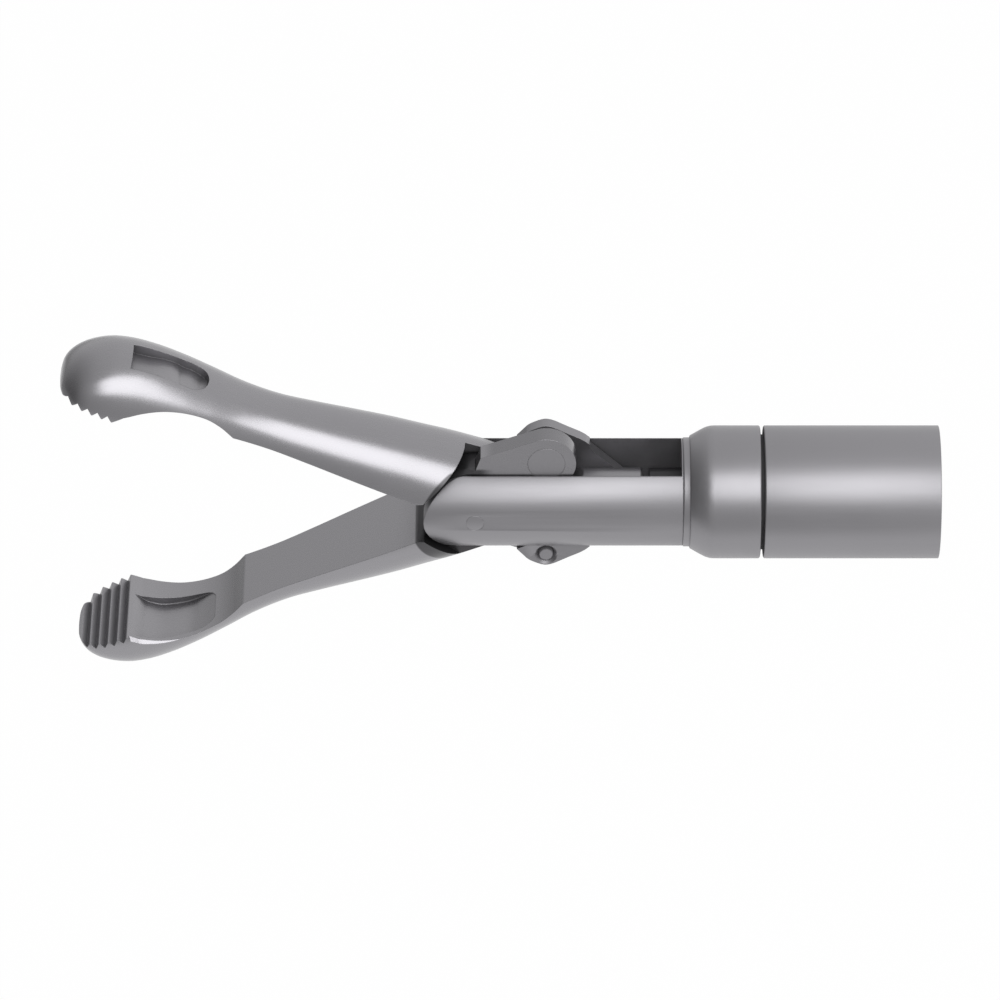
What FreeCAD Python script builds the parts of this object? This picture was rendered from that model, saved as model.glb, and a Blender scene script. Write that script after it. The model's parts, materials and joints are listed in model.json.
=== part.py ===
import FreeCAD, Part
import math
import os

os.makedirs("parts", exist_ok=True)

# Millimetres. X runs along the shaft, the jaws point to -X, Z is up in the plane the jaws open in,
# Y is the line of the pivot. The origin is the middle of the tube's cut back end.

# shaft
tubeRadius = 2.50
tubeWall = 0.32
tubeLength = 6.58
seamGap = 0.13
edgeBevel = 0.04

# collar between the tube and the fork
collarBodyLength = 1.72
collarConeLength = 0.92
collarLipLength = 0.27
collarLipRadius = 2.055
collarConeRadius = 2.12
collarSpigotLength = 2.20
spigotPlay = 0.015

# fork that carries the pivot
forkRadius = 2.02
forkStemRadius = 1.62
forkStemLength = 4.30
slotHalfWidth = 1.22
slotLength = 7.74
pivotX = -17.41
noseReach = 1.92
noseCurve = [(0.04, 0.30), (0.25, 0.76), (0.44, 1.01), (0.66, 1.23), (0.90, 1.41), (1.20, 1.55), (1.58, 1.62)]

# pins
pivotPinRadius = 0.33
linkPinRadius = 0.28
linkPinHeadRadius = 0.70
linkPinHeadDepth = 0.16
rodPinRadius = 0.30
runningPlay = 0.02
headPlay = 0.012
rivetBevel = 0.09

# the linkage, measured with the jaws open
linkPinX = 2.67
linkPinZ = 2.12
rodPinX = 5.08
jawTravel = 20.52

# links
linkInner = 0.60
linkThickness = 0.50
linkTailHalf = 0.60
linkRidge = 0.80
linkHeadFront = 0.65
linkHeadDrop = 0.92
linkStepAt = 1.56

# push rod
rodRadius = 0.91
rodHeadHalf = 0.56
rodHeadFront = 1.50
rodHeadBack = 1.20
rodHeadBow = 0.5
rodNeckRadius = 0.46
rodNeckLength = 0.26
rodSocketDepth = 0.55
rodPlay = 0.04
bushLength = 1.60
bushBack = 1.30

# jaws, measured from the pivot with the jaws shut
jawGap = 0.02
hubOuter = 1.165
tangInner = 0.41
hubRadius = 1.80
hubTop = 0.68
tangCorner = 1.04
tangRadius = 1.11
tangInside = 0.03
shoulderInner = (2.10, 0.11)
shoulderOuter = (1.14, 1.95)
flatStart = (2.34, 0.01)
flatEnd = (9.66, 0.34)
throat = [
    (10.23, 0.63),
    (10.75, 0.80),
    (11.35, 0.87),
    (11.95, 0.86),
    (12.60, 0.75),
    (13.25, 0.50),
    (13.85, 0.14),
]
toothStart = 14.20
toothPitch = 0.388
toothCount = 6
toothDepth = 0.21
crestLevel = -0.20
crestLand = 0.035
shankRelief = 0.83
pairDroop = 1.6
jawSections = [
    (-2.60, 2.020, 2.020),
    (-0.60, 2.020, 2.020),
    (0.60, 2.018, 2.018),
    (1.60, 1.995, 1.995),
    (2.60, 1.935, 1.935),
    (3.80, 1.870, 1.870),
    (5.25, 1.748, 1.748),
    (6.75, 1.610, 1.610),
    (8.25, 1.520, 1.505),
    (9.60, 1.590, 1.570),
    (10.90, 1.780, 1.760),
    (12.05, 1.925, 1.915),
    (13.20, 2.000, 2.000),
    (14.10, 2.010, 1.960),
    (14.80, 1.960, 1.790),
    (15.38, 1.830, 1.460),
    (15.80, 1.620, 1.090),
    (16.08, 1.320, 0.730),
    (16.25, 0.910, 0.400),
    (16.30, 0.500, 0.180),
]

# hollow inside each jaw's head, its profile measured back from its end wall, and recess in the jaw's back
bowlWall = 0.12
bowlEnd = toothStart - bowlWall
bowlProfile = [(3.88, 0.00), (3.63, 0.62), (3.08, 1.12), (2.28, 1.52), (1.28, 1.68), (0.48, 1.70)]
bowlDepth = 0.76
recessWall = 0.07
recessLength = 3.03
recessEnd = toothStart - recessWall
recessBack = recessEnd - recessLength
recessHalf = 0.60
recessMiddle = -0.41
recessStep = recessBack + 1.10
recessFloorEnd = 1.50
recessFloorStep = 1.72
recessFloorBack = 1.52


def at(x, y, z):
    return FreeCAD.Vector(x, y, z)


def pinPlace(turned):
    """Link pin of the lower jaw, seen from the pivot, when the jaws have closed by so many degrees."""
    reach = math.hypot(linkPinX, linkPinZ)
    angle = math.atan2(linkPinZ, linkPinX) - math.radians(turned)
    return reach * math.cos(angle), reach * math.sin(angle)


linkLength = math.hypot(rodPinX - linkPinX, linkPinZ)


def rodPlace(turned):
    """Distance of the rod pin behind the pivot when the jaws have closed by so many degrees."""
    x, z = pinPlace(turned)
    return x + math.sqrt(linkLength ** 2 - z ** 2)


rodTravel = rodPlace(jawTravel) - rodPlace(0)


def slack():
    """How far the true rod pin runs ahead of a straight-line ratio, the play its slot needs."""
    worst = 0
    for step in range(21):
        share = step / 20
        ahead = rodPlace(jawTravel * share) - rodPlace(0) - rodTravel * share
        worst = max(worst, ahead)
    return worst


def ring(x0, x1, outer, inner=0.0, y=0.0, z=0.0):
    """Cylinder or tube along X."""
    body = Part.makeCylinder(outer, x1 - x0, at(x0, y, z), at(1, 0, 0))
    if inner > 0:
        body = body.cut(Part.makeCylinder(inner, x1 - x0 + 2, at(x0 - 1, y, z), at(1, 0, 0)))
    return body


def pinBody(radius, y0, y1, x=0.0, z=0.0):
    """Round pin along Y."""
    return Part.makeCylinder(radius, y1 - y0, at(x, y0, z), at(0, 1, 0))


def turnedSolid(points):
    """Solid turned about the X axis from a closed line of (x, radius) corners."""
    corners = [at(x, 0, r) for x, r in points]
    wire = Part.makePolygon(corners + corners[:1])
    return Part.Face(wire).revolve(at(0, 0, 0), at(1, 0, 0), 360)


def sidePlate(edges, y0, y1):
    """Plate between two Y values from a closed line of edges drawn at y = 0."""
    face = Part.Face(Part.Wire(edges))
    face.translate(at(0, y0, 0))
    return face.extrude(at(0, y1 - y0, 0))


def lines(points):
    """Straight edges joining (x, z) corners in turn."""
    corners = [at(x, 0, z) for x, z in points]
    return [Part.makeLine(a, b) for a, b in zip(corners, corners[1:])]


def smooth(points, start=None, end=None):
    """One flowing edge through (x, z) points, with end directions if given."""
    curve = Part.BSplineCurve()
    places = [at(x, 0, z) for x, z in points]
    if start is None:
        curve.interpolate(places)
    else:
        curve.interpolate(
            Points=places,
            InitialTangent=at(start[0], 0, start[1]),
            FinalTangent=at(end[0], 0, end[1]),
        )
    return curve.toShape()


def arcThrough(a, b, c):
    """Arc through three (x, z) points."""
    return Part.Arc(at(a[0], 0, a[1]), at(b[0], 0, b[1]), at(c[0], 0, c[1])).toShape()


def outerTube():
    x0 = -tubeLength
    inner = tubeRadius - tubeWall
    return turnedSolid([
        (x0, inner),
        (x0, tubeRadius - edgeBevel),
        (x0 + edgeBevel, tubeRadius),
        (0, tubeRadius),
        (0, inner),
    ])


collarBack = -tubeLength - seamGap
collarFront = collarBack - collarBodyLength - collarConeLength - collarLipLength


def endCollar():
    coneTop = collarBack - collarBodyLength
    coneFoot = coneTop - collarConeLength
    outline = [
        at(collarFront, 0, collarLipRadius - edgeBevel),
        at(collarFront + edgeBevel, 0, collarLipRadius),
        at(coneFoot, 0, collarLipRadius),
        at(coneFoot, 0, collarConeRadius),
    ]
    edges = [Part.makeLine(a, b) for a, b in zip(outline, outline[1:])]
    blend = Part.BSplineCurve()
    blend.interpolate(
        Points=[
            at(coneFoot, 0, collarConeRadius),
            at(coneFoot + 0.40 * collarConeLength, 0, tubeRadius - 0.17),
            at(coneTop, 0, tubeRadius),
        ],
        InitialTangent=at(0.8, 0, 0.42),
        FinalTangent=at(1, 0, 0),
    )
    edges.append(blend.toShape())
    inside = spigotRadius()
    rest = [
        at(coneTop, 0, tubeRadius),
        at(collarBack - edgeBevel, 0, tubeRadius),
        at(collarBack, 0, tubeRadius - edgeBevel),
        at(collarBack, 0, inside),
        at(collarBack + collarSpigotLength, 0, inside),
        at(collarBack + collarSpigotLength, 0, forkStemRadius),
        at(collarFront, 0, forkStemRadius),
        at(collarFront, 0, collarLipRadius - edgeBevel),
    ]
    edges += [Part.makeLine(a, b) for a, b in zip(rest, rest[1:])]
    return Part.Face(Part.Wire(edges)).revolve(at(0, 0, 0), at(1, 0, 0), 360)


def spigotRadius():
    return tubeRadius - tubeWall - spigotPlay


def forkBody():
    nose = pivotX - noseReach
    body = ring(nose, collarFront, forkRadius)
    body = body.fuse(ring(collarFront - 0.5, collarFront + forkStemLength, forkStemRadius))
    slotEnd = pivotX + slotLength
    corner = at(nose - 1, -slotHalfWidth, -1.5 * forkRadius)
    slot = Part.makeBox(slotEnd - nose + 1, 2 * slotHalfWidth, 3 * forkRadius, corner)
    body = body.cut(slot)
    for side in (1, -1):
        curve = [(nose, 0)] + [(nose + run, side * rise) for run, rise in noseCurve]
        last = curve[-1]
        away = (last[0] + 1.2, side * 2.6)
        edges = [smooth(curve, (0, side), (1, side * 0.15))]
        edges += lines([last, away, (nose - 1, away[1]), (nose - 1, 0), curve[0]])
        body = body.cut(sidePlate(edges, -3, 3))
    bore = rodRadius + rodPlay
    body = body.cut(ring(slotEnd - 1, collarFront + forkStemLength + 1, bore))
    body = body.cut(pinBody(pivotPinRadius, -3, 3, pivotX))
    return body.removeSplitter()


def pivotPin():
    """Pin through both tines, dressed flush with the fork's round outside."""
    pin = pinBody(pivotPinRadius, -3, 3, pivotX)
    return pin.common(ring(pivotX - 2, pivotX + 2, forkRadius))


def guideBush():
    return ring(-bushBack - bushLength, -bushBack, tubeRadius - tubeWall, rodRadius + rodPlay)


def pushRod():
    headBack = pivotX + rodPinX + rodHeadBack
    rodFront = headBack + rodNeckLength
    body = ring(rodFront, 0, rodRadius)
    neck = ring(headBack - rodSocketDepth, rodFront + 0.2, rodNeckRadius)
    return body.fuse(neck).removeSplitter()


def rodHead():
    """Flat tongue milled from the rod's round, with a lengthened hole for the rod pin."""
    middle = pivotX + rodPinX
    headBack = middle + rodHeadBack
    tip = middle - rodHeadFront
    corner = tip + rodHeadBow
    body = ring(tip, headBack, rodRadius)
    edges = lines([
        (corner, -rodRadius - 1),
        (headBack, -rodRadius - 1),
        (headBack, rodRadius + 1),
        (corner, rodRadius + 1),
        (corner, rodRadius),
    ])
    edges.append(arcThrough((corner, rodRadius), (tip, 0), (corner, -rodRadius)))
    edges += lines([(corner, -rodRadius), (corner, -rodRadius - 1)])
    body = body.common(sidePlate(edges, -rodHeadHalf, rodHeadHalf))
    hole = rodPinRadius + runningPlay
    for shift in (0, slack()):
        body = body.cut(pinBody(hole, -2, 2, middle + shift))
    body = body.cut(Part.makeBox(slack(), 4, 2 * hole, at(middle, -2, -hole)))
    body = body.cut(ring(headBack - rodSocketDepth, headBack + 1, rodNeckRadius))
    return body.removeSplitter()


def rodPin():
    outside = linkInner + linkThickness
    pin = pinBody(rodPinRadius, -outside, outside, pivotX + rodPinX)
    return pin


def linkOutline():
    """Outline of a link in its own frame: u along the link from the jaw's pin to the rod pin, v outward."""
    front = -linkHeadFront
    shelf = linkStepAt
    edges = lines([(front, -linkHeadDrop), (front, -0.38)])
    brow = [
        (front, -0.38),
        (-0.53, 0.02),
        (-0.34, 0.33),
        (0.01, 0.51),
        (0.42, 0.61),
        (0.82, 0.71),
        (1.25, linkRidge),
    ]
    edges.append(smooth(brow, (0.05, 1.0), (1.0, 0.12)))
    edges += lines([
        (1.25, linkRidge),
        (shelf - 0.08, linkRidge),
        (shelf + 0.06, linkTailHalf + 0.06),
        (linkLength, linkTailHalf),
    ])
    tail = linkLength + linkTailHalf
    edges.append(arcThrough((linkLength, linkTailHalf), (tail, 0), (linkLength, -linkTailHalf)))
    edges += lines([(linkLength, -linkTailHalf), (0.75, -linkTailHalf)])
    chin = [(0.75, -linkTailHalf), (0.1, -0.72), (front, -linkHeadDrop)]
    edges.append(smooth(chin, (-1, -0.02), (-1, -0.35)))
    return edges


def linkBody(pinHole, rodHole):
    """Link of the lower jaw, on the far side and open upward; the other is this one turned half round."""
    y0 = linkInner
    y1 = linkInner + linkThickness
    body = sidePlate(linkOutline(), y0, y1)
    for u, radius in ((0, pinHole), (linkLength, rodHole)):
        body = body.cut(pinBody(radius, -3, 3, u))
    deep = rivetBevel + 0.04
    bottom = at(0, y1 - deep, 0)
    sink = Part.makeCone(linkPinRadius + runningPlay, linkPinRadius + 0.15, deep, bottom, at(0, 1, 0))
    body = body.cut(sink)
    angle = math.degrees(math.atan2(linkPinZ, rodPinX - linkPinX))
    body.rotate(at(0, 0, 0), at(0, 1, 0), angle)
    body.translate(at(linkPinX, 0, linkPinZ))
    return body


def linkPin():
    """Pin of the lower jaw: a broad flat head let into the tang, the shank through the far link."""
    outside = linkInner + linkThickness
    pin = pinBody(linkPinRadius, -hubOuter, outside, linkPinX, linkPinZ)
    head = pinBody(linkPinHeadRadius, -hubOuter, -hubOuter + linkPinHeadDepth, linkPinX, linkPinZ)
    end = at(linkPinX, outside, linkPinZ)
    keep = Part.makeCone(linkPinRadius - 0.05, linkPinRadius + 0.05, 0.10, end, at(0, -1, 0))
    tip = pinBody(linkPinRadius, outside - 0.10, outside + 0.1, linkPinX, linkPinZ)
    pin = pin.cut(tip).fuse(keep.common(tip))
    return pin.fuse(head).removeSplitter()


def jawForm():
    """Outside of a shut pair of jaws: one smooth skin through round and oval sections."""
    wires = []
    for s, wide, high in jawSections:
        major = max(wide, high + 0.0005)
        oval = Part.Ellipse(at(-s, major, 0), at(-s, 0, high), at(-s, 0, 0))
        wires.append(Part.Wire([oval.toShape()]))
    return Part.makeLoft(wires, True, False)


def toothLine():
    """Corners of the row of cross teeth, from the wall behind the last tooth to the tip."""
    points = []
    for index in range(toothCount):
        s = toothStart + index * toothPitch
        points.append((-s, crestLevel))
        points.append((-s - crestLand, crestLevel))
        if index + 1 < toothCount:
            points.append((-s - 0.62 * toothPitch, crestLevel + toothDepth))
    return points


def innerLine():
    """Edges round the half that a jaw keeps: shoulder, flat, throat, teeth and the open outside."""
    start = (-flatStart[0], flatStart[1])
    corner = (-flatEnd[0], flatEnd[1])
    bend = [corner] + [(-s, z) for s, z in throat]
    teeth = toothLine()
    edges = lines([start, corner])
    edges.append(smooth(bend))
    last = (-throat[-1][0], throat[-1][1])
    edges += lines([last] + teeth + [(-18, crestLevel), (-18, 4)])
    slope = (shoulderInner[0] - shoulderOuter[0]) / (shoulderOuter[1] - shoulderInner[1])
    high = (-(shoulderOuter[0] - slope * (4 - shoulderOuter[1])), 4)
    edges += lines([(-18, 4), high, (-shoulderInner[0], shoulderInner[1])])
    edges += lines([(-shoulderInner[0], shoulderInner[1]), start])
    return [edge for edge in edges if edge.Length > 1e-6]


def bowlCutter():
    """Hollow behind the teeth, a turned pocket with a flat end wall."""
    points = [at(back - bowlEnd, 0, r) for back, r in bowlProfile]
    curve = Part.BSplineCurve()
    curve.interpolate(Points=points, InitialTangent=at(-0.05, 0, 1), FinalTangent=at(-1, 0, 0))
    start = points[0].x
    end = points[-1].x
    widest = points[-1].z
    edges = [curve.toShape()]
    edges += lines([(end, widest), (-bowlEnd, widest), (-bowlEnd, 0), (start, 0)])
    pocket = Part.Face(Part.Wire(edges)).revolve(at(0, 0, 0), at(1, 0, 0), 360)
    squash = FreeCAD.Matrix()
    squash.scale(at(1, 1, bowlDepth))
    return pocket.transformGeometry(squash)


def recessCutter():
    """Blind recess in the back of the head: round at the shank end, straight behind the teeth."""
    roundX = -recessBack - recessHalf
    slot = Part.makeBox(recessEnd + roundX, 2 * recessHalf, 3, at(-recessEnd, recessMiddle - recessHalf, 0))
    end = Part.makeCylinder(recessHalf, 3, at(roundX, recessMiddle, 0), at(0, 0, 1))
    floor = [
        (-recessEnd - 1, recessFloorEnd),
        (-recessEnd, recessFloorEnd),
        (-recessStep, recessFloorStep),
        (-recessStep, recessFloorBack),
        (-recessBack + 1, recessFloorBack - 0.1),
        (-recessBack + 1, 4),
        (-recessEnd - 1, 4),
        (-recessEnd - 1, recessFloorEnd),
    ]
    return slot.fuse(end).common(sidePlate(lines(floor), -3, 3))


def jawNeck():
    """Half-width neck from the shank back over the pivot."""
    root = -flatStart[0] - 0.3
    corners = [(hubTop, 0), (hubTop, 3), (root, 3), (root, 0.10), (-1.4, 0.06), (-1.0, 0), (hubTop, 0)]
    return sidePlate(lines(corners), jawGap, hubOuter)


def jawShank(turn):
    """Neck, shank and head of one jaw, outward side up, turned outward about the pivot by some degrees."""
    keep = sidePlate(innerLine(), -3, 3).fuse(jawNeck()).fuse(jawEye())
    body = jawForm().common(keep)
    body = body.cut(bowlCutter())
    body = body.cut(recessCutter())
    body.rotate(at(0, 0, 0), at(0, 1, 0), turn)
    return body


def jawEye():
    """Half-width eye that turns on the pivot pin."""
    return pinBody(hubRadius, jawGap, hubOuter)


def jawTang():
    """Thinner arm behind the eye that carries the link pin, on the other side of the shaft's middle."""
    x, z = pinPlace(jawTravel)
    outer = -z - tangRadius
    corners = [
        (0.5, tangInside),
        (x, tangInside),
        (x, outer),
        (tangCorner, outer),
        (0.5, -1.5),
        (0.5, tangInside),
    ]
    arm = sidePlate(lines(corners), tangInner, hubOuter)
    end = pinBody(tangRadius, tangInner, hubOuter, x, -z)
    trim = Part.makeBox(6, 4, 3, at(0, -2, -3 + tangInside))
    return arm.fuse(end.common(trim))


def jaw(turn):
    """One whole jaw with its outward side up, shut."""
    body = jawShank(turn).fuse(jawTang())
    x, z = pinPlace(jawTravel)
    body = body.cut(pinBody(pivotPinRadius + runningPlay, -3, 3))
    body = body.cut(pinBody(linkPinRadius, -3, 3, x, -z))
    body = body.cut(pinBody(linkPinHeadRadius + headPlay, hubOuter - linkPinHeadDepth, hubOuter + 1, x, -z))
    return body.removeSplitter()


def halfTurn(shape):
    """Same shape turned half round the shaft's axis."""
    copy = shape.copy()
    copy.rotate(at(0, 0, 0), at(1, 0, 0), 180)
    return copy


def upperJaw():
    body = jaw(shankRelief - pairDroop)
    body.rotate(at(0, 0, 0), at(0, 1, 0), jawTravel)
    return toPivot(body)


def lowerJaw():
    body = halfTurn(jaw(shankRelief + pairDroop))
    body.rotate(at(0, 0, 0), at(0, 1, 0), -jawTravel)
    return toPivot(body)


def toPivot(shape):
    shape.translate(at(pivotX, 0, 0))
    return shape


def lowerLink():
    return toPivot(linkBody(linkPinRadius + runningPlay, rodPinRadius + runningPlay))


def upperLink():
    return toPivot(halfTurn(linkBody(linkPinRadius + runningPlay, rodPinRadius)))


pieces = {
    "outer_tube": outerTube,
    "end_collar": endCollar,
    "fork": forkBody,
    "pivot_pin": pivotPin,
    "guide_bush": guideBush,
    "push_rod": pushRod,
    "rod_head": rodHead,
    "rod_pin": rodPin,
    "upper_jaw": upperJaw,
    "lower_jaw": lowerJaw,
    "upper_link": upperLink,
    "lower_link": lowerLink,
    "upper_link_pin": lambda: toPivot(halfTurn(linkPin())),
    "lower_link_pin": lambda: toPivot(linkPin()),
}

for name, build in pieces.items():
    shape = build()
    shape.exportStep("parts/" + name + ".step")
    box = shape.BoundBox
    print(name, len(shape.Solids), "solid", shape.isValid(), round(shape.Volume, 3),
          [round(v, 2) for v in (box.XMin, box.XMax, box.YMin, box.YMax, box.ZMin, box.ZMax)])

print("rod travel", round(rodTravel, 4), "slack", round(slack(), 4), "link length", round(linkLength, 4))
x, z = pinPlace(jawTravel)
openAngle = math.degrees(math.asin(linkPinZ / linkLength))
shutAngle = math.degrees(math.asin(z / linkLength))
spaceTurn = openAngle - shutAngle
print("link turns in space", round(spaceTurn, 4), "in the jaw", round(spaceTurn + jawTravel, 4))
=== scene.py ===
import json
import math

import bmesh
import bpy
from mathutils import Matrix, Vector


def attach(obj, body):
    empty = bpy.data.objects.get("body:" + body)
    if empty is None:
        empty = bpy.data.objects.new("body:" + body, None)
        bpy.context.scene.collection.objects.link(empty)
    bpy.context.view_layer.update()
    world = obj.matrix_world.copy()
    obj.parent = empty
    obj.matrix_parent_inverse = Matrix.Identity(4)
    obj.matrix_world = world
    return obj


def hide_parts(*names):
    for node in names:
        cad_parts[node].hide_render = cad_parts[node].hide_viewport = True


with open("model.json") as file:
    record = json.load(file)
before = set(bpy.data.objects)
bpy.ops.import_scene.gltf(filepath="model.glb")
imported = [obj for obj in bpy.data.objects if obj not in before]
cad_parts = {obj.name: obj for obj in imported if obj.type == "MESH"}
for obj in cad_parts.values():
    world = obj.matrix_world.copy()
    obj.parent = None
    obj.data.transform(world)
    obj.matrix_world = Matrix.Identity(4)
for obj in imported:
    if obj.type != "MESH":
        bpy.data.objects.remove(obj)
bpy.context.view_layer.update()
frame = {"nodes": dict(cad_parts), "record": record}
nodes = frame["nodes"]
bodyOf = {node: body for body, group in frame["record"]["behaviour"]["bodies"].items() for node in group}
slotOf = {part["node"]: part["material_slot"] for part in frame["record"]["subparts"]}
mm = 0.001
print("frame loaded,", len(nodes), "CAD nodes")


class Signal:
    # one output of a shader node that can stand in an expression

    def __init__(self, shader, socket):
        self.shader = shader
        self.socket = socket

    def maths(self, operation, first, second):
        return self.shader.add("ShaderNodeMath", {"operation": operation}, {0: first, 1: second})

    def __add__(self, other):
        return self.maths("ADD", self, other)

    def __radd__(self, other):
        return self.maths("ADD", other, self)

    def __sub__(self, other):
        return self.maths("SUBTRACT", self, other)

    def __rsub__(self, other):
        return self.maths("SUBTRACT", other, self)

    def __mul__(self, other):
        return self.maths("MULTIPLY", self, other)

    def __rmul__(self, other):
        return self.maths("MULTIPLY", other, self)


class Shader:
    # the node tree of one material or of the world

    def __init__(self, owner):
        owner.use_nodes = True
        self.tree = owner.node_tree
        self.tree.nodes.clear()

    def add(self, kind, settings=None, inputs=None, output=0):
        node = self.tree.nodes.new(kind)
        for name, value in (settings or {}).items():
            setattr(node, name, value)
        for name, value in (inputs or {}).items():
            self.feed(node.inputs[name], value)
        return Signal(self, node.outputs[output]) if len(node.outputs) else node

    def feed(self, socket, value):
        if isinstance(value, Signal):
            self.tree.links.new(value.socket, socket)
        else:
            socket.default_value = value


def grey(value, cool=0.0):
    # a steel grey, tinted from neutral towards violet blue
    return (value * (1 + 0.4 * cool), value * (1 - 0.6 * cool), value * (1 + 2.2 * cool), 1)


def ramp(shader, value, start, end):
    # rises smoothly from 0 at the start to 1 at the end
    return shader.add("ShaderNodeMapRange", {"interpolation_type": "SMOOTHSTEP"}, {
        0: value, 1: start * mm, 2: end * mm, 3: 0.0, 4: 1.0})


def pivotShadeMask(shader, x, z, shadePaint):
    # painted shade on the steel round the pivot, inside the fork
    along = x - shadePaint["pivot"] * mm
    reach = shader.add("ShaderNodeMath", {"operation": "SQRT"}, {0: along * along + z * z})
    reach = reach - ramp(shader, z, *shadePaint["underside"]) * (shadePaint["below"] * mm)
    eye = ramp(shader, reach, *shadePaint["eye"])
    neck = ramp(shader, along, *shadePaint["neck"])
    inside = shader.add("ShaderNodeMath", {"operation": "MAXIMUM"}, {0: eye, 1: neck})
    return inside * ramp(shader, z, *shadePaint["top"]) * ramp(shader, x, *shadePaint["back"])


def tangEdgeShadeMask(shader, x, y, shadePaint):
    # painted shade on the narrow edges of the tangs, which face up or along the jaw
    facing = shader.add("ShaderNodeTexCoord", output=1)
    side = shader.add("ShaderNodeSeparateXYZ", inputs={0: facing}, output=1)
    flat = shader.add("ShaderNodeMath", {"operation": "ABSOLUTE"}, {0: side})
    off = shader.add("ShaderNodeMath", {"operation": "ABSOLUTE"}, {0: y})
    tang = ramp(shader, off, *shadePaint["tangSide"]) * ramp(shader, x, *shadePaint["tangs"])
    return tang * (1 - flat)


def paintedShadeFactor(shader, place, shadePaint):
    # factor on the tone that paints shade: darker steel round the pivot, on the tangs' narrow edges and on
    # the rod behind its head
    x, y, z = (shader.add("ShaderNodeSeparateXYZ", inputs={0: place}, output=k) for k in range(3))
    # painted shade on the rod behind its head, inside the tube
    if "behind" in shadePaint:
        inside = ramp(shader, x, *shadePaint["behind"]) * ramp(shader, x, *shadePaint["inTube"])
        return 1 - inside * (1 - shadePaint["behindShadeTone"])
    level = 1 - pivotShadeMask(shader, x, z, shadePaint) * (1 - shadePaint["pivotShadeTone"])
    return level * (1 - tangEdgeShadeMask(shader, x, y, shadePaint) * (1 - shadePaint["tangEdgeShadeTone"]))


def satinSteel(name, look):
    material = bpy.data.materials.new(name)
    shader = Shader(material)
    place = shader.add("ShaderNodeTexCoord", output=3)
    lie = shader.add("ShaderNodeMapping", inputs={"Vector": place, "Scale": look["stretch"]})
    streak = shader.add("ShaderNodeTexNoise", inputs={
        "Vector": lie, "Scale": look["streakScale"], "Detail": 5.0, "Roughness": 0.62})
    grain = shader.add("ShaderNodeTexNoise", inputs={
        "Vector": place, "Scale": look["grainScale"], "Detail": 3.0, "Roughness": 0.55})
    cloud = shader.add("ShaderNodeTexNoise", inputs={
        "Vector": place, "Scale": look["cloudScale"], "Detail": 2.0, "Roughness": 0.5})
    blend = streak * 0.5 + grain * 0.25 + cloud * 0.25
    tone = shader.add("ShaderNodeMix", {"data_type": "RGBA"}, {
        0: blend,
        6: grey(look["tone"] * (1 - look["variation"]), look["cool"]),
        7: grey(look["tone"] * (1 + look["variation"]), look["cool"])}, output=2)
    nook = shader.add("ShaderNodeAmbientOcclusion", {"samples": 6}, {
        "Distance": look["nook"] * mm}, output=1)
    free = shader.add("ShaderNodeMapRange", inputs={
        0: nook, 1: look["nookFrom"], 2: look["nookTo"], 3: 0.0, 4: 1.0})
    rough = (look["roughness"] + (streak - 0.5) * look["streakRough"] + (cloud - 0.5) * look["cloudRough"]
             + (1 - free) * look["nookRough"])
    height = streak * look["streakHeight"] + grain * look["grainHeight"]
    # painted shade: the tone darkens where the ambient occlusion finds the steel closed in, in crevices and
    # between parts
    level = look["nookShadeTone"] + free * (1 - look["nookShadeTone"])
    if "shadePaint" in look:
        level = level * paintedShadeFactor(shader, place, look["shadePaint"])
    tone = shader.add("ShaderNodeVectorMath", {"operation": "SCALE"}, {0: tone, 3: level})
    soft = shader.add("ShaderNodeBevel", {"samples": 4}, {"Radius": look["edge"] * mm})
    bump = shader.add("ShaderNodeBump", inputs={
        "Strength": look["bump"], "Distance": 0.00001, "Height": height, "Normal": soft})
    surface = shader.add("ShaderNodeBsdfPrincipled", inputs={
        "Base Color": tone, "Metallic": 1.0, "Roughness": rough, "Normal": bump})
    shader.add("ShaderNodeOutputMaterial", inputs={"Surface": surface})
    return material


# scales of the noise are waves per metre, and a stretch under 1 draws the marks out along that axis;
# edge and nook are in millimetres, and the nook values paint shade into the steel's tone, and roughen it,
# where little light gets in
satin = {
    "tone": 0.31, "cool": 0.018, "variation": 0.05, "roughness": 0.36, "edge": 0.05,
    "nook": 1.6, "nookFrom": 0.25, "nookTo": 0.90, "nookShadeTone": 0.45, "nookRough": 0.45,
    "streakRough": 0.08, "cloudRough": 0.05,
    "streakScale": 9000.0, "grainScale": 16000.0, "cloudScale": 420.0,
    "stretch": (0.06, 1.0, 1.0), "streakHeight": 0.5, "grainHeight": 0.5, "bump": 0.12,
}
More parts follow.
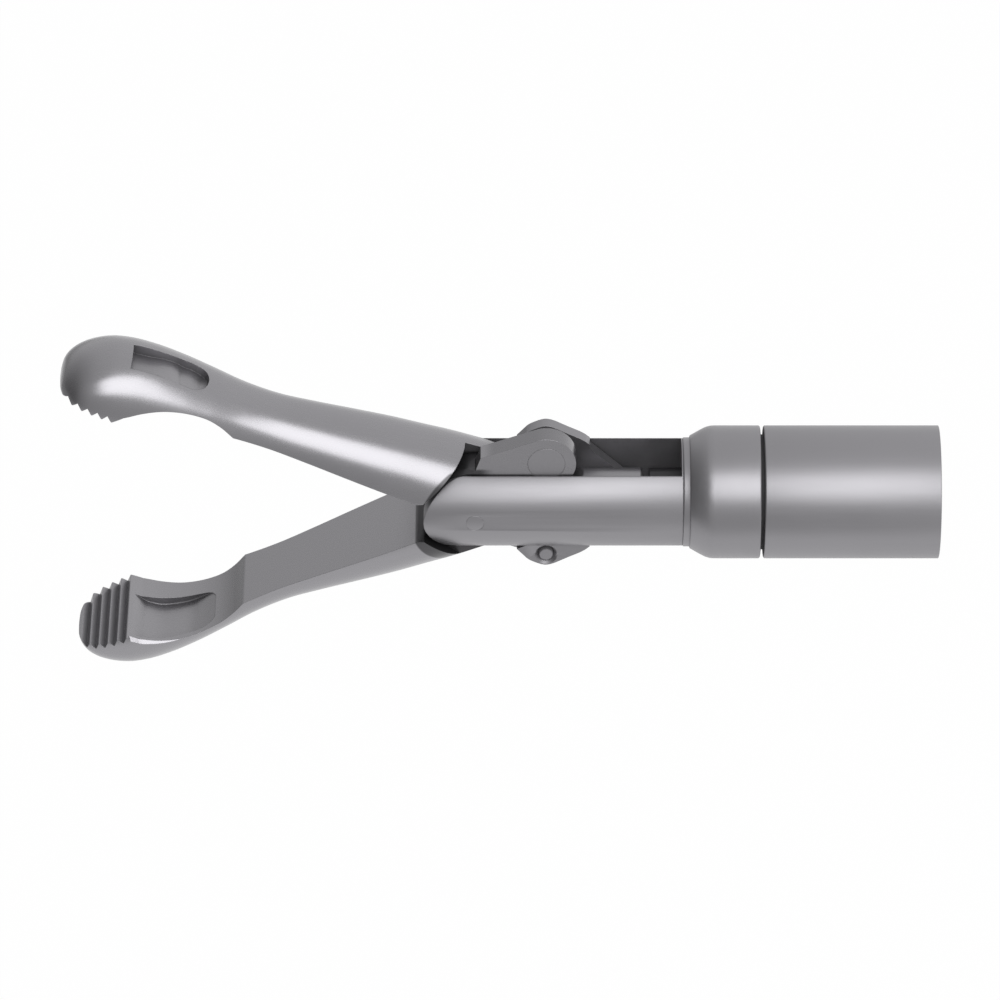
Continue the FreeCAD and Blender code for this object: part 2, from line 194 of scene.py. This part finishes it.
# places of the painted shade in millimetres, in the part's own frame; a pair is where a shade starts and
# where it is full
rodShadePaint = {"behind": (-11.23, -11.17), "inTube": (-6.5, -7.5), "behindShadeTone": 0.22}
jawShadePaint = {
    "pivot": -17.41, "eye": (2.11, 2.03), "underside": (0.10, -0.10), "below": 0.36, "neck": (-0.34, -0.14),
    "top": (1.92, 1.80), "back": (-16.65, -17.25), "pivotShadeTone": 0.30,
    "tangSide": (1.30, 1.20), "tangs": (-17.15, -16.65), "tangEdgeShadeTone": 0.74,
}
finishes = {
    "tube_steel": {"roughness": 0.42},
    "collar_steel": {"roughness": 0.40, "tone": 0.30, "stretch": (1.0, 0.12, 0.12), "streakRough": 0.10},
    "fork_steel": {"roughness": 0.42},
    "pin_steel": {"roughness": 0.41, "stretch": (1.0, 1.0, 1.0), "nookShadeTone": 0.8},
    "bush_steel": {"roughness": 0.40, "tone": 0.24, "stretch": (1.0, 0.2, 0.2)},
    "rod_steel": {"roughness": 0.34, "shadePaint": rodShadePaint},
    "jaw_steel": {"roughness": 0.27, "variation": 0.07, "stretch": (0.10, 1.0, 0.4), "edge": 0.03,
                  "bump": 0.025, "shadePaint": jawShadePaint},
    "link_steel": {"roughness": 0.36, "tone": 0.29, "stretch": (0.15, 1.0, 1.0), "variation": 0.10,
                   "nookShadeTone": 0.75, "edge": 0.015},
}
steels = {slot: satinSteel(slot, {**satin, **change}) for slot, change in finishes.items()}
print("steels made:", len(steels))


def joinLooseTriangles(node):
    # a merged copy of a CAD node's mesh, with flat stretches as single faces
    shape = bmesh.new()
    shape.from_mesh(nodes[node].data)
    bmesh.ops.remove_doubles(shape, verts=shape.verts, dist=0.0004 * mm)
    bmesh.ops.dissolve_limit(shape, angle_limit=math.radians(0.2), verts=shape.verts, edges=shape.edges)
    mesh = bpy.data.meshes.new(node)
    shape.to_mesh(mesh)
    shape.free()
    return mesh


def finishEdges(piece, width, sharpness=30.0):
    # breaks the sharp edges and keeps the rest smooth
    if width > 0:
        bevel = piece.modifiers.new("edges", "BEVEL")
        bevel.width = width * mm
        bevel.segments = 2
        bevel.limit_method = "ANGLE"
        bevel.angle_limit = math.radians(sharpness)
    result = bpy.data.meshes.new_from_object(piece.evaluated_get(bpy.context.evaluated_depsgraph_get()))
    piece.modifiers.clear()
    piece.data = result
    piece.data.shade_smooth()
    piece.data.set_sharp_from_angle(angle=math.radians(sharpness))


def putInPlace(piece, node):
    piece.data.materials.clear()
    piece.data.materials.append(steels[slotOf[node]])
    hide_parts(node)
    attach(piece, bodyOf[node])


# a jaw, in millimetres from the pivot: distances run towards the tips, heights away from the other jaw;
# a section is its distance, half its width and half its height
jaws = {
    "pivot": -17.41, "travel": 20.52, "shankRelief": 0.83, "droop": 1.6,
    "sections": [
        (-2.60, 2.020, 2.020), (-0.60, 2.020, 2.020), (0.60, 2.018, 2.018), (1.60, 1.995, 1.995),
        (2.60, 1.935, 1.935), (3.80, 1.870, 1.870), (5.25, 1.748, 1.748), (6.75, 1.610, 1.610),
        (8.25, 1.520, 1.505), (9.60, 1.590, 1.570), (10.90, 1.780, 1.760), (12.05, 1.925, 1.915),
        (13.20, 2.000, 2.000), (14.10, 2.010, 1.960), (14.80, 1.960, 1.790), (15.38, 1.830, 1.460),
        (15.80, 1.620, 1.090), (16.08, 1.320, 0.730), (16.25, 0.910, 0.400), (16.30, 0.500, 0.180),
    ],
    "around": 160, "between": 9, "inset": 0.9991,
    "shoulder": [(2.10, 0.11), (1.14, 1.95)], "flatStart": (2.34, 0.01),
    "throat": [(9.66, 0.34), (10.23, 0.63), (10.75, 0.80), (11.35, 0.87), (11.95, 0.86), (12.60, 0.75),
               (13.25, 0.50), (13.85, 0.14)],
    "neck": [(-0.68, 0), (-0.68, 3), (2.64, 3), (2.64, 0.10), (1.4, 0.06), (1.0, 0)],
    "gap": 0.02, "outer": 1.165, "eye": 1.80, "pivotHole": 0.35,
    "tangInner": 0.41, "tangRoot": (0.5, -1.5), "tangCorner": 1.04, "tangRadius": 1.11, "tangInside": 0.03,
    "linkPin": (2.67, 2.12), "linkHole": 0.28, "headHole": 0.7015, "headDepth": 0.16,
    "beyond": 3.0, "past": 18.0, "above": 4.0,
}
teeth = {
    "start": 14.20, "pitch": 0.388, "count": 6, "depth": 0.21, "crest": -0.20, "land": 0.035, "lean": 0.62,
    "clear": 0.15,
}
# troughs cut into the head: a station is its distance from the end wall, its two sides in Y and its
# floor's height
hollow = {
    "wall": 0.12, "open": -0.45, "power": 60.0,
    "stations": [(0.00, -0.84, 1.68, -0.09), (0.32, -0.86, 1.70, 0.46), (0.75, -0.87, 1.69, 0.80),
                 (1.30, -0.87, 1.58, 0.98), (1.90, -0.85, 1.49, 1.06), (2.35, -0.80, 1.44, 1.01),
                 (2.65, -0.72, 1.36, 0.95), (2.85, -0.60, 1.24, 0.90), (2.98, -0.42, 1.05, 0.865),
                 (3.05, -0.20, 0.80, 0.84)],
}
lip = {"from": 14.16, "to": 12.35, "width": 0.15, "slope": 1.1, "reach": 0.2, "steps": 14}
recess = {
    "wall": 0.07, "open": 4.0, "power": 600.0,
    "stations": [(0.00, -1.01, 0.19, 1.66), (0.12, -1.01, 0.19, 1.61), (0.40, -1.01, 0.19, 1.60),
                 (1.85, -1.01, 0.19, 1.66), (1.97, -1.01, 0.19, 1.62), (2.40, -1.01, 0.19, 1.57),
                 (2.60, -0.977, 0.157, 1.54), (2.78, -0.90, 0.08, 1.52), (2.92, -0.78, -0.04, 1.53),
                 (3.00, -0.62, -0.20, 1.55), (3.03, -0.46, -0.36, 1.58)],
}


def flowing(points, between):
    # a smooth run of points through all the given ones
    ends = [2 * Vector(points[0]) - Vector(points[1])] + [Vector(p) for p in points]
    ends.append(2 * Vector(points[-1]) - Vector(points[-2]))
    run = []
    for a, b, c, d in zip(ends, ends[1:], ends[2:], ends[3:]):
        gaps = [max((q - p).length, 1e-9) for p, q in ((a, b), (b, c), (c, d))]
        leave = (b - a) / gaps[0] - (c - a) / (gaps[0] + gaps[1]) + (c - b) / gaps[1]
        reach = (c - b) / gaps[1] - (d - b) / (gaps[1] + gaps[2]) + (d - c) / gaps[2]
        for step in range(between):
            u = step / between
            run.append(b * (2 * u ** 3 - 3 * u ** 2 + 1) + c * (3 * u ** 2 - 2 * u ** 3)
                       + leave * gaps[1] * (u ** 3 - 2 * u ** 2 + u) + reach * gaps[1] * (u ** 3 - u ** 2))
    return run + [Vector(points[-1])]


def makePiece(name, points, faces):
    mesh = bpy.data.meshes.new(name)
    mesh.from_pydata(points, [], faces)
    shape = bmesh.new()
    shape.from_mesh(mesh)
    bmesh.ops.remove_doubles(shape, verts=shape.verts, dist=1e-6)
    bmesh.ops.recalc_face_normals(shape, faces=shape.faces)
    shape.to_mesh(mesh)
    shape.free()
    piece = bpy.data.objects.new(name, mesh)
    bpy.context.scene.collection.objects.link(piece)
    return piece


def rings(name, circles):
    # closed skin over a row of equal rings
    count = len(circles[0])
    points = [p for circle in circles for p in circle]
    faces = [tuple(range(count)), tuple(range(len(points) - count, len(points)))]
    for row in range(len(circles) - 1):
        for k in range(count):
            a = row * count + k
            b = row * count + (k + 1) % count
            faces.append((a, b, b + count, a + count))
    return makePiece(name, points, faces)


def plate(name, outline, y0, y1):
    # outline of (x, z) corners drawn out along Y
    return rings(name, [[(x, y, z) for x, z in outline] for y in (y0, y1)])


def roundPin(name, radius, y0, y1, x, z, count=96):
    turns = [2 * math.pi * k / count for k in range(count)]
    return plate(name, [(x + radius * math.cos(a), z + radius * math.sin(a)) for a in turns], y0, y1)


def combine(piece, tool, operation):
    joint = piece.modifiers.new("joint", "BOOLEAN")
    joint.operation = operation
    joint.object = tool
    joint.solver = "EXACT"
    bpy.context.view_layer.update()
    result = bpy.data.meshes.new_from_object(piece.evaluated_get(bpy.context.evaluated_depsgraph_get()))
    piece.modifiers.clear()
    piece.data = result
    bpy.data.objects.remove(tool)
    return piece


def toothGaps():
    # the row of gaps between the cross teeth, one V repeated by Geometry Nodes
    top = teeth["crest"] + teeth["depth"]
    low = teeth["crest"] - teeth["clear"]
    peak = -teeth["lean"] * teeth["pitch"]
    rise = (top - low) / teeth["depth"]
    land = peak + (-teeth["land"] - peak) * rise
    back = peak + (-teeth["pitch"] - peak) * rise
    gap = plate("gap", [(land, low), (peak, top), (back, low)], -jaws["beyond"], jaws["beyond"])
    tree = bpy.data.node_groups.new("tooth row", "GeometryNodeTree")
    tree.interface.new_socket("Gap", in_out="INPUT", socket_type="NodeSocketGeometry")
    number = tree.interface.new_socket("Count", in_out="INPUT", socket_type="NodeSocketInt")
    start = tree.interface.new_socket("Start", in_out="INPUT", socket_type="NodeSocketVector")
    pitch = tree.interface.new_socket("Pitch", in_out="INPUT", socket_type="NodeSocketVector")
    tree.interface.new_socket("Row", in_out="OUTPUT", socket_type="NodeSocketGeometry")
    given = tree.nodes.new("NodeGroupInput")
    line = tree.nodes.new("GeometryNodeMeshLine")
    line.mode = "OFFSET"
    line.count_mode = "TOTAL"
    copies = tree.nodes.new("GeometryNodeInstanceOnPoints")
    real = tree.nodes.new("GeometryNodeRealizeInstances")
    steel = tree.nodes.new("GeometryNodeSetMaterial")
    steel.inputs["Material"].default_value = steels["jaw_steel"]
    result = tree.nodes.new("NodeGroupOutput")
    tree.links.new(given.outputs["Count"], line.inputs["Count"])
    tree.links.new(given.outputs["Start"], line.inputs["Start Location"])
    tree.links.new(given.outputs["Pitch"], line.inputs["Offset"])
    tree.links.new(line.outputs["Mesh"], copies.inputs["Points"])
    tree.links.new(given.outputs["Gap"], copies.inputs["Instance"])
    tree.links.new(copies.outputs["Instances"], real.inputs["Geometry"])
    tree.links.new(real.outputs["Geometry"], steel.inputs["Geometry"])
    tree.links.new(steel.outputs["Geometry"], result.inputs["Row"])
    row = gap.modifiers.new("row", "NODES")
    row.node_group = tree
    row[number.identifier] = teeth["count"] - 1
    row[start.identifier] = (-teeth["start"], 0.0, 0.0)
    row[pitch.identifier] = (-teeth["pitch"], 0.0, 0.0)
    bpy.context.view_layer.update()
    mesh = bpy.data.meshes.new_from_object(gap.evaluated_get(bpy.context.evaluated_depsgraph_get()))
    gap.modifiers.clear()
    gap.data = mesh
    return gap


def smoothStations(stations, between):
    # the stations with smooth in-between ones, each value by itself
    lengths = [station[0] for station in stations]
    columns = []
    for column in zip(*stations):
        columns.append([p[1] for p in flowing(list(zip(lengths, column)), between)])
    return list(zip(*columns))


def trough(name, cut, count=40):
    # a groove through cross sections that follow its stations, the squarer the higher its power
    end = cut["wall"] - teeth["start"]
    circles = []
    for along, y0, y1, floor in smoothStations(cut["stations"], 5):
        middle = (y0 + y1) / 2
        half = (y1 - y0) / 2
        drop = floor - cut["open"]
        circle = []
        for k in range(count + 1):
            a = math.pi * k / count
            across = math.copysign(abs(math.cos(a)) ** (2 / cut["power"]), math.cos(a))
            down = math.sin(a) ** (2 / cut["power"])
            circle.append((end + along, middle + half * across, cut["open"] + drop * down))
        circles.append(circle)
    return rings(name, circles)


def levelAt(table, s, column=1):
    # value of a table of rising distances at one distance, straight between its rows
    for a, b in zip(table, table[1:]):
        if a[0] <= s <= b[0]:
            return a[column] + (b[column] - a[column]) * (s - a[0]) / (b[0] - a[0])
    return table[-1][column]


def lipTool():
    # chamfer along the hollow's rim that dies out towards the shank
    inner = [tuple(p) for p in flowing(jaws["throat"], 8)] + [(teeth["start"], teeth["crest"])]
    corners = []
    reach = lip["reach"]
    for k in range(lip["steps"] + 1):
        u = k / lip["steps"]
        s = lip["from"] + (lip["to"] - lip["from"]) * u
        z = levelAt(inner, s)
        half = levelAt(jaws["sections"], s, 2)
        side = levelAt(jaws["sections"], s) * math.sqrt(1 - (z / half) ** 2)
        width = lip["width"] * math.cos(math.pi / 2 * u) + 0.001
        low = z - reach * lip["slope"]
        high = z + (width + reach) * lip["slope"]
        corners.append([(-s, side - width - reach, low), (-s, side + reach, high), (-s, side + reach, low)])
    return rings("lip", corners)


def jawHead():
    # shank and head of a shut jaw, its outward side up
    circles = []
    turns = [2 * math.pi * k / jaws["around"] for k in range(jaws["around"])]
    for s, wide, high in flowing(jaws["sections"], jaws["between"]):
        circles.append([(-s, wide * math.cos(a), high * jaws["inset"] * math.sin(a)) for a in turns])
    body = rings("jaw", circles)
    near, far = jaws["shoulder"]
    lean = (near[0] - far[0]) / (far[1] - near[1])
    outline = [(-s, z) for s, z in (near, jaws["flatStart"])]
    outline += [(-s, z) for s, z in flowing(jaws["throat"], 8)]
    outline += [(-teeth["start"], teeth["crest"]), (-jaws["past"], teeth["crest"])]
    outline += [(-jaws["past"], jaws["above"]), (lean * (jaws["above"] - far[1]) - far[0], jaws["above"])]
    keep = plate("keep", outline, -jaws["beyond"], jaws["beyond"])
    neck = plate("neck", [(-s, z) for s, z in jaws["neck"]], jaws["gap"], jaws["outer"])
    combine(neck, roundPin("eye", jaws["eye"], jaws["gap"] + 1e-4, jaws["outer"] - 1e-4, 0, 0), "UNION")
    combine(keep, neck, "UNION")
    combine(body, keep, "INTERSECT")
    combine(body, toothGaps(), "DIFFERENCE")
    combine(body, trough("hollow", hollow), "DIFFERENCE")
    combine(body, lipTool(), "DIFFERENCE")
    combine(body, trough("recess", recess), "DIFFERENCE")
    return body


def turnPiece(piece, degrees, axis):
    piece.data.transform(Matrix.Rotation(math.radians(degrees), 4, axis))


def wholeJaw(head, turn):
    # the head turned about the pivot, with its tang and holes
    body = bpy.data.objects.new("jaw", head.data.copy())
    bpy.context.scene.collection.objects.link(body)
    turnPiece(body, turn, "Y")
    reach = math.hypot(*jaws["linkPin"])
    angle = math.atan2(jaws["linkPin"][1], jaws["linkPin"][0]) - math.radians(jaws["travel"])
    x = reach * math.cos(angle)
    z = -reach * math.sin(angle)
    inside = jaws["tangInside"]
    outer = z - jaws["tangRadius"]
    span = (jaws["tangInner"], jaws["outer"] - 2e-4)
    turns = [math.pi * (k / 72 - 0.5) for k in range(73)]
    root, below = jaws["tangRoot"]
    outline = [(root, inside), (root, below), (jaws["tangCorner"], outer)]
    for a in turns:
        corner = (x + jaws["tangRadius"] * math.cos(a), z + jaws["tangRadius"] * math.sin(a))
        if corner[1] < inside:
            outline.append(corner)
    back = math.sqrt(max(jaws["tangRadius"] ** 2 - (inside - z) ** 2, 0.0))
    outline.append((x + back, inside))
    beyond = jaws["beyond"]
    combine(body, plate("tang", outline, *span), "UNION")
    combine(body, roundPin("hole", jaws["pivotHole"], -beyond, beyond, 0, 0), "DIFFERENCE")
    combine(body, roundPin("hole", jaws["linkHole"], -beyond, beyond, x, z), "DIFFERENCE")
    seat = jaws["outer"] - jaws["headDepth"]
    combine(body, roundPin("hole", jaws["headHole"], seat, beyond, x, z), "DIFFERENCE")
    return body


def finishJaw(body, name, flipped):
    if flipped:
        turnPiece(body, 180, "X")
    turnPiece(body, -jaws["travel"] if flipped else jaws["travel"], "Y")
    body.data.transform(Matrix.Translation((jaws["pivot"], 0, 0)))
    body.data.transform(Matrix.Scale(mm, 4))
    body.name = name + ".fine"
    finishEdges(body, 0.0)
    putInPlace(body, name)
    print(name, "made,", len(body.data.polygons), "faces")


head = jawHead()
finishJaw(wholeJaw(head, jaws["shankRelief"] - jaws["droop"]), "upper_jaw", False)
finishJaw(wholeJaw(head, jaws["shankRelief"] + jaws["droop"]), "lower_jaw", True)
bpy.data.objects.remove(head)


# width of the broken edges of each piece, in millimetres
edgeWidths = {
    "outer_tube": 0.02, "end_collar": 0.02, "fork": 0.03, "pivot_pin": 0.0, "guide_bush": 0.02,
    "push_rod": 0.02, "rod_head": 0.03, "rod_pin": 0.02,
    "upper_link": 0.0, "lower_link": 0.0, "upper_link_pin": 0.0, "lower_link_pin": 0.0,
}
for node, width in edgeWidths.items():
    piece = bpy.data.objects.new(node + ".fine", joinLooseTriangles(node))
    bpy.context.scene.collection.objects.link(piece)
    bpy.context.view_layer.update()
    finishEdges(piece, width)
    putInPlace(piece, node)
print("pieces finished:", len(edgeWidths))


# the left side of the surroundings is darker, so the jaws' tips shade off as under a soft box
studio = {
    "floorHeight": -0.045, "floorBack": 1.2, "floorFront": 0.055, "floorSide": 1.2, "floorTone": 0.9,
    "floorGlow": 0.97, "worldLevel": 0.74, "worldBack": 0.12, "worldUp": 0.04, "worldRight": 0.16,
    "leftDark": 0.62, "floorLeft": (-0.05, -0.13), "worldLeft": (-0.35, -0.95),
    "keyElevation": 45.0, "keyTurn": 14.0, "keyDistance": 0.5,
    "keyLong": 0.44, "keyTall": 0.38, "keyPower": 1.25,
}


def leftShade(shader, along, span):
    # rises to the left side's darkness over a span of X
    return shader.add("ShaderNodeMapRange", {"interpolation_type": "SMOOTHSTEP"}, {
        0: along, 1: span[0], 2: span[1], 3: 0.0, 4: studio["leftDark"]})


def makeFloor():
    y0 = -studio["floorFront"]
    y1 = studio["floorBack"]
    x = studio["floorSide"]
    z = studio["floorHeight"]
    mesh = bpy.data.meshes.new("floor")
    mesh.from_pydata([(-x, y0, z), (x, y0, z), (x, y1, z), (-x, y1, z)], [], [(0, 1, 2, 3)])
    floor = bpy.data.objects.new("floor", mesh)
    bpy.context.scene.collection.objects.link(floor)
    material = bpy.data.materials.new("pale floor")
    shader = Shader(material)
    camera = shader.add("ShaderNodeLightPath", output="Is Camera Ray")
    glossy = shader.add("ShaderNodeLightPath", output="Is Glossy Ray")
    through = shader.add("ShaderNodeLightPath", output="Is Transmission Ray")
    plain = shader.add("ShaderNodeBsdfDiffuse", inputs={"Color": grey(studio["floorTone"])})
    along = shader.add("ShaderNodeSeparateXYZ", inputs={0: shader.add("ShaderNodeTexCoord", output=3)})
    shade = leftShade(shader, along, studio["floorLeft"])
    white = shader.add("ShaderNodeEmission", inputs={
        "Color": grey(1.0), "Strength": 1 - shade * (1 - camera)})
    seen = shader.add("ShaderNodeMath", {"operation": "ADD", "use_clamp": True}, {
        0: camera + glossy, 1: through})
    surface = shader.add("ShaderNodeMixShader", inputs={0: seen * studio["floorGlow"], 1: plain, 2: white})
    shader.add("ShaderNodeOutputMaterial", inputs={"Surface": surface})
    mesh.materials.append(material)


def makeWorld():
    world = bpy.data.worlds.new("studio")
    bpy.context.scene.world = world
    shader = Shader(world)
    towards = shader.add("ShaderNodeTexCoord", output="Generated")
    right, back, up = (shader.add("ShaderNodeSeparateXYZ", inputs={0: towards}, output=k) for k in range(3))
    level = studio["worldLevel"] + right * studio["worldRight"]
    level = level + back * studio["worldBack"] + up * studio["worldUp"]
    level = level * (1 - leftShade(shader, right, studio["worldLeft"]))
    camera = shader.add("ShaderNodeLightPath", output="Is Camera Ray")
    strength = level * (1 - camera) + camera
    glow = shader.add("ShaderNodeBackground", inputs={"Color": grey(1.0), "Strength": strength})
    shader.add("ShaderNodeOutputWorld", inputs={"Surface": glow})


# the point that the lamp and the camera look at, in metres
aim = Vector((-0.01647, -0.000181, -0.000249))
# the camera of the photograph: its height in degrees, its distance and the width that it sees there
view = {
    "elevation": 36.0, "distance": 0.28195, "across": 0.037594, "sensor": 36.0, "near": 0.01, "far": 10.0,
}


def lookAtPart(name, data, elevation, turn, distance):
    # a lamp or a camera, turned to the part from a distance
    holder = bpy.data.objects.new(name, data)
    bpy.context.scene.collection.objects.link(holder)
    up = math.radians(elevation)
    aside = math.radians(turn)
    away = Vector((math.sin(aside) * math.cos(up), -math.cos(aside) * math.cos(up), math.sin(up)))
    holder.location = aim + away * distance
    holder.rotation_mode = "QUATERNION"
    holder.rotation_quaternion = (-away).to_track_quat("-Z", "Y")
    return holder


def makeKeyLamp():
    lamp = bpy.data.lights.new("key", "AREA")
    lamp.shape = "RECTANGLE"
    lamp.size = studio["keyLong"]
    lamp.size_y = studio["keyTall"]
    lamp.energy = studio["keyPower"]
    lookAtPart("key", lamp, studio["keyElevation"], studio["keyTurn"], studio["keyDistance"])


def makeCamera():
    camera = bpy.data.cameras.new("camera")
    camera.sensor_width = view["sensor"]
    camera.lens = view["sensor"] * view["distance"] / view["across"]
    camera.clip_start = view["near"]
    camera.clip_end = view["far"]
    bpy.context.scene.camera = lookAtPart("camera", camera, view["elevation"], 0.0, view["distance"])


makeFloor()
makeWorld()
makeKeyLamp()
makeCamera()
bpy.context.scene.view_settings.view_transform = "Standard"
print("studio set")
